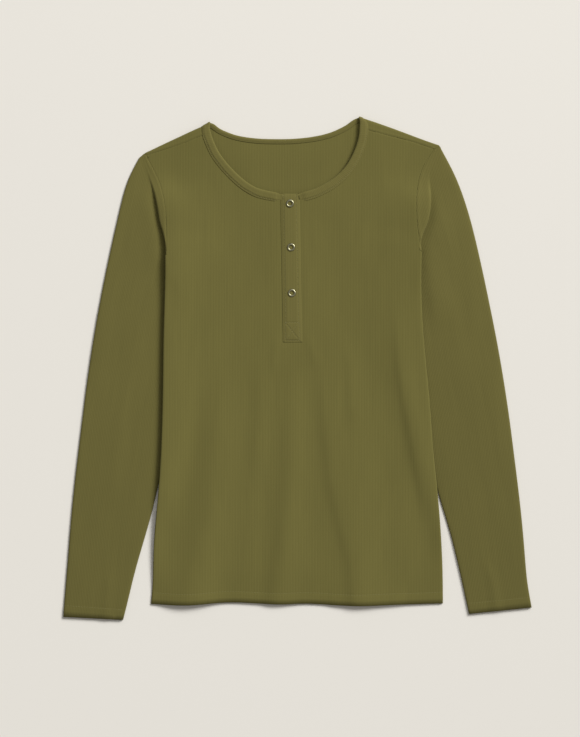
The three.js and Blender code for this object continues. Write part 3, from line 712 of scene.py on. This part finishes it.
# Snaps
# Three open ring snaps of polished nickel-plated brass. The ring's prongs go through the outer strip into a socket,
# and the stud under it is set in the inner strip, so only the ring shows, with the cloth inside it.
polished, surface, start = new_material("polished_nickel")
spot = start.node("ShaderNodeTexCoord", out=3)
wear = start.node("ShaderNodeTexNoise", inputs={"Vector": spot, "Scale": 900.0, "Detail": 3.0})
start.tree.links.new((wear * 0.12 + 0.28).socket, surface.inputs["Roughness"])
# The metal's colour is set dark and olive: painted reflection of the olive cloth and of the shade round the rings,
# laid over the nickel. The noise only varies it at random.
nickel_tone_and_painted_reflection = ((0.35, (0.30, 0.285, 0.17)), (0.7, (0.42, 0.40, 0.26)))
tone = start.node("ShaderNodeValToRGB", {"ramp": nickel_tone_and_painted_reflection}, {0: wear})
start.tree.links.new(tone.socket, surface.inputs["Base Color"])
surface.inputs["Metallic"].default_value = 1.0

# The cut through one side of a ring as (radius, height), in mm
RING_PROFILE = (
    (2.75, 0.0), (2.7, 0.35), (2.95, 0.85), (3.5, 1.2), (4.1, 1.3), (4.7, 1.1), (5.2, 0.65), (5.4, 0.2), (5.35, 0.0))
RING_SUNK = 0.2 * MM
for number, (x, y) in enumerate(((-9.7, 221.5), (-8.2, 163), (-7.1, 102)), 1):
    low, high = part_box(f"snap_ring_{number}")
    base = low[2] - RING_SUNK + STRIP_LIES + front_drape(place(x, y))
    seat = Vector(((low[0] + high[0]) / 2, (low[1] + high[1]) / 2, base))
    ring = bmesh.new()
    corners = [ring.verts.new((seat.x + r * MM, seat.y, seat.z + h * MM)) for r, h in RING_PROFILE]
    edges = [ring.edges.new(pair) for pair in zip(corners, corners[1:] + corners[:1])]
    bmesh.ops.spin(ring, geom=corners + edges, cent=seat, axis=(0, 0, 1), angle=math.tau, steps=48, use_merge=True)
    bmesh.ops.remove_doubles(ring, verts=ring.verts, dist=1e-6)
    bmesh.ops.recalc_face_normals(ring, faces=ring.faces)
    mesh = bpy.data.meshes.new(f"snap_ring_{number}_metal")
    ring.to_mesh(mesh)
    for face in mesh.polygons:
        face.use_smooth = True
    piece = put_in(mesh.name, mesh)
    mesh.materials.append(polished)
    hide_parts(f"snap_ring_{number}")
    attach(piece, "root")
    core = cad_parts[f"snap_core_{number}"]
    core.data.materials.clear()
    core.data.materials.append(polished)


# Stitching
# Short lengths of matching sewing thread, sunk by half into the cloth. One row holds the hem and one each cuff, and
# single rows hold the placket and the binding.
thread, surface, start = new_material("olive_thread")
spot = start.node("ShaderNodeTexCoord", out=3)
twist = start.node("ShaderNodeTexNoise", inputs={"Vector": spot, "Scale": 3000.0})
olive_thread = ((0.3, (0.155, 0.138, 0.042)), (0.75, (0.185, 0.166, 0.053)))
tone = start.node("ShaderNodeValToRGB", {"ramp": olive_thread}, {0: twist})
start.tree.links.new(tone.socket, surface.inputs["Base Color"])
surface.inputs["Roughness"].default_value = 0.7
STITCH = 2.9 * MM
STITCH_GAP = 0.7 * MM
THREAD = 0.24 * MM  # half its width

stitch_form = bmesh.new()
bmesh.ops.create_uvsphere(stitch_form, u_segments=8, v_segments=5, radius=1)
bmesh.ops.scale(stitch_form, verts=stitch_form.verts, vec=(STITCH / 2, THREAD, THREAD * 0.75))
one_stitch = bpy.data.meshes.new("stitch_form")
stitch_form.to_mesh(one_stitch)


def stitch_rows(name, rows, ground, down=-1):
    """Rows of stitches laid on a piece of cloth, each one a short rounded length of thread sunk by half into it."""
    seam = bmesh.new()
    for row in rows:
        for hit, run, normal in drawn_on(ground, row, STITCH + STITCH_GAP, down):
            side = normal.cross(run).normalized()
            ahead = side.cross(normal).normalized()
            spot = Matrix.Translation(hit) @ Matrix((ahead, side, normal)).transposed().to_4x4()
            one_stitch.transform(spot)
            seam.from_mesh(one_stitch)
            one_stitch.transform(spot.inverted())
    mesh = bpy.data.meshes.new(name)
    seam.to_mesh(mesh)
    for face in mesh.polygons:
        face.use_smooth = True
    piece = put_in(name, mesh)
    mesh.materials.append(thread)
    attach(piece, "root")


stitch_rows("hem_stitches_front", [hem_row(8)], front)
stitch_rows("hem_stitches_back", [hem_row(8)], back, down=1)
for arm, sleeve in sleeves.items():
    row = cuff_row(arm, 1)
    stitch_rows(f"cuff_stitches_{arm}_top", [row], sleeve)
    stitch_rows(f"cuff_stitches_{arm}_under", [row], sleeve, down=1)
stitch_rows("placket_stitches", placket_rows, strips["placket_over"])
stitch_rows("binding_stitches", [neck_row], binding)
bpy.data.meshes.remove(one_stitch)


# Table, light and camera
# A pale plain table, a soft sun-like light from the left arm's side of the neck end, a weaker broad lamp beyond the
# neck, even light from all round, and the camera straight above.
table_top = bmesh.new()
bmesh.ops.create_grid(table_top, x_segments=1, y_segments=1, size=3.0)
mesh = bpy.data.meshes.new("table")
table_top.to_mesh(mesh)
table = put_in("table", mesh)
paper, surface, start = new_material("warm_white_paper")
surface.inputs["Base Color"].default_value = (0.772, 0.742, 0.680, 1)
surface.inputs["Roughness"].default_value = 0.9
mesh.materials.append(paper)

sky = bpy.data.worlds.new("studio")
sky.use_nodes = True
sky.node_tree.nodes["Background"].inputs["Color"].default_value = (1.0, 0.99, 0.975, 1)
sky.node_tree.nodes["Background"].inputs["Strength"].default_value = 0.33
bpy.context.scene.world = sky

key = bpy.data.lights.new("key", "SUN")
key.energy = 3.35
key.angle = math.radians(24)
lamp = put_in("key", key)
lamp.rotation_euler = Vector((0.64, 0.54, 0.545)).to_track_quat("Z", "Y").to_euler()

top = bpy.data.lights.new("neck_end", "AREA")
top.energy, top.size = 22, 1.6
lamp = put_in("neck_end", top)
lamp.location = (0.9, 2.5, 2.0)
lamp.rotation_euler = Vector(lamp.location).to_track_quat("Z", "Y").to_euler()

lens = bpy.data.cameras.new("camera")
lens.sensor_fit = "VERTICAL"
lens.sensor_height = 24
lens.lens = 85
camera = put_in("camera", lens)
view_height = 737 * 1.335 * MM  # the photo's height in pixels, at 1.335 mm a pixel
cloth_top = 0.006
distance = view_height / lens.sensor_height * lens.lens
camera.location = (-9.7 * MM - MIDDLE_X * MM, 1.0 * MM - MIDDLE_Y * MM, distance + cloth_top)
bpy.context.scene.camera = camera
bpy.context.scene.view_settings.view_transform = "Standard"
